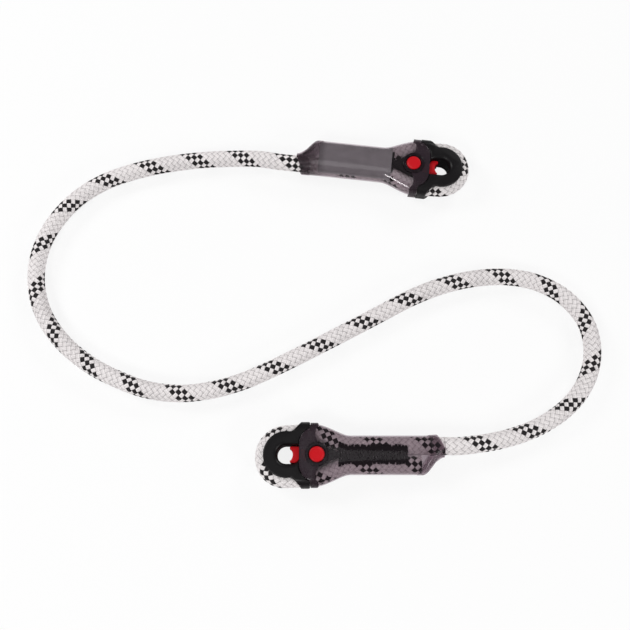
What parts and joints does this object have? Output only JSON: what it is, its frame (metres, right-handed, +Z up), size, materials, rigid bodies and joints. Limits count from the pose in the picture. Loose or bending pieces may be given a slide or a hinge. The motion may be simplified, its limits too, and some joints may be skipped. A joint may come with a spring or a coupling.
{
  "type": "tree climbing lanyard",
  "caption": "Braided rope lanyard with a sewn thimble eye at each end, held in a smoked sleeve, with a sliding keeper locked by push buttons",
  "frame": {"origin": "middle of the underside of the box round the two terminals, on the surface that they lie on; the free rope isn't counted", "axes": "+Z up out of the terminals' front faces, +Y from terminal b to terminal a across the S of the rope, +X to the right of the picture"},
  "size_m": [0.3686, 0.2306, 0.0181],
  "materials": {
    "rope": "white braided polyamide sheath with black tracer yarns",
    "thimble": "black moulded nylon, satin",
    "sleeve": "smoked see-through plastic, glossy",
    "red_plastic": "red moulded plastic, half gloss",
    "stitching": "black sewing thread",
    "label": "grey film, bare",
    "spring_steel": "drawn stainless wire"
  },
  "bodies": {
    "lanyard": {"rope_free": "rope", "rope_eye_a": "rope", "rope_eye_b": "rope", "thimble_a": "thimble", "thimble_b": "thimble", "sleeve_a": "sleeve", "sleeve_b": "sleeve", "button_spring_a": "spring_steel", "button_spring_b": "spring_steel", "stitching_front_a": "stitching", "stitching_front_b": "stitching", "stitching_back_a": "stitching", "stitching_back_b": "stitching", "label_a": "label"},
    "keeper_a": {"keeper_a": "red_plastic"},
    "keeper_b": {"keeper_b": "red_plastic"},
    "button_front_a": {"button_front_a": "red_plastic"},
    "button_front_b": {"button_front_b": "red_plastic"},
    "button_back_a": {"button_back_a": "red_plastic"},
    "button_back_b": {"button_back_b": "red_plastic"}
  },
  "joints": [
    {"name": "keeper_slide_a", "type": "slide", "parent": "lanyard", "child": "keeper_a", "axis": [-0.9934, 0.1149, 0], "range_m": [0, 0.0036]},
    {"name": "keeper_slide_b", "type": "slide", "parent": "lanyard", "child": "keeper_b", "axis": [1, 0, 0], "range_m": [0, 0.0036]},
    {"name": "button_front_press_a", "type": "slide", "parent": "lanyard", "child": "button_front_a", "axis": [0, 0, -1], "range_m": [0, 0.0012], "stiffness_N_per_m": 800, "deforming": ["button_spring_a"]},
    {"name": "button_front_press_b", "type": "slide", "parent": "lanyard", "child": "button_front_b", "axis": [0, 0, -1], "range_m": [0, 0.0012], "stiffness_N_per_m": 800, "deforming": ["button_spring_b"]},
    {"name": "button_back_press_a", "type": "slide", "parent": "lanyard", "child": "button_back_a", "axis": [0, 0, 1], "range_m": [0, 0.0012], "stiffness_N_per_m": 800},
    {"name": "button_back_press_b", "type": "slide", "parent": "lanyard", "child": "button_back_b", "axis": [0, 0, 1], "range_m": [0, 0.0012], "stiffness_N_per_m": 800}
  ]
}
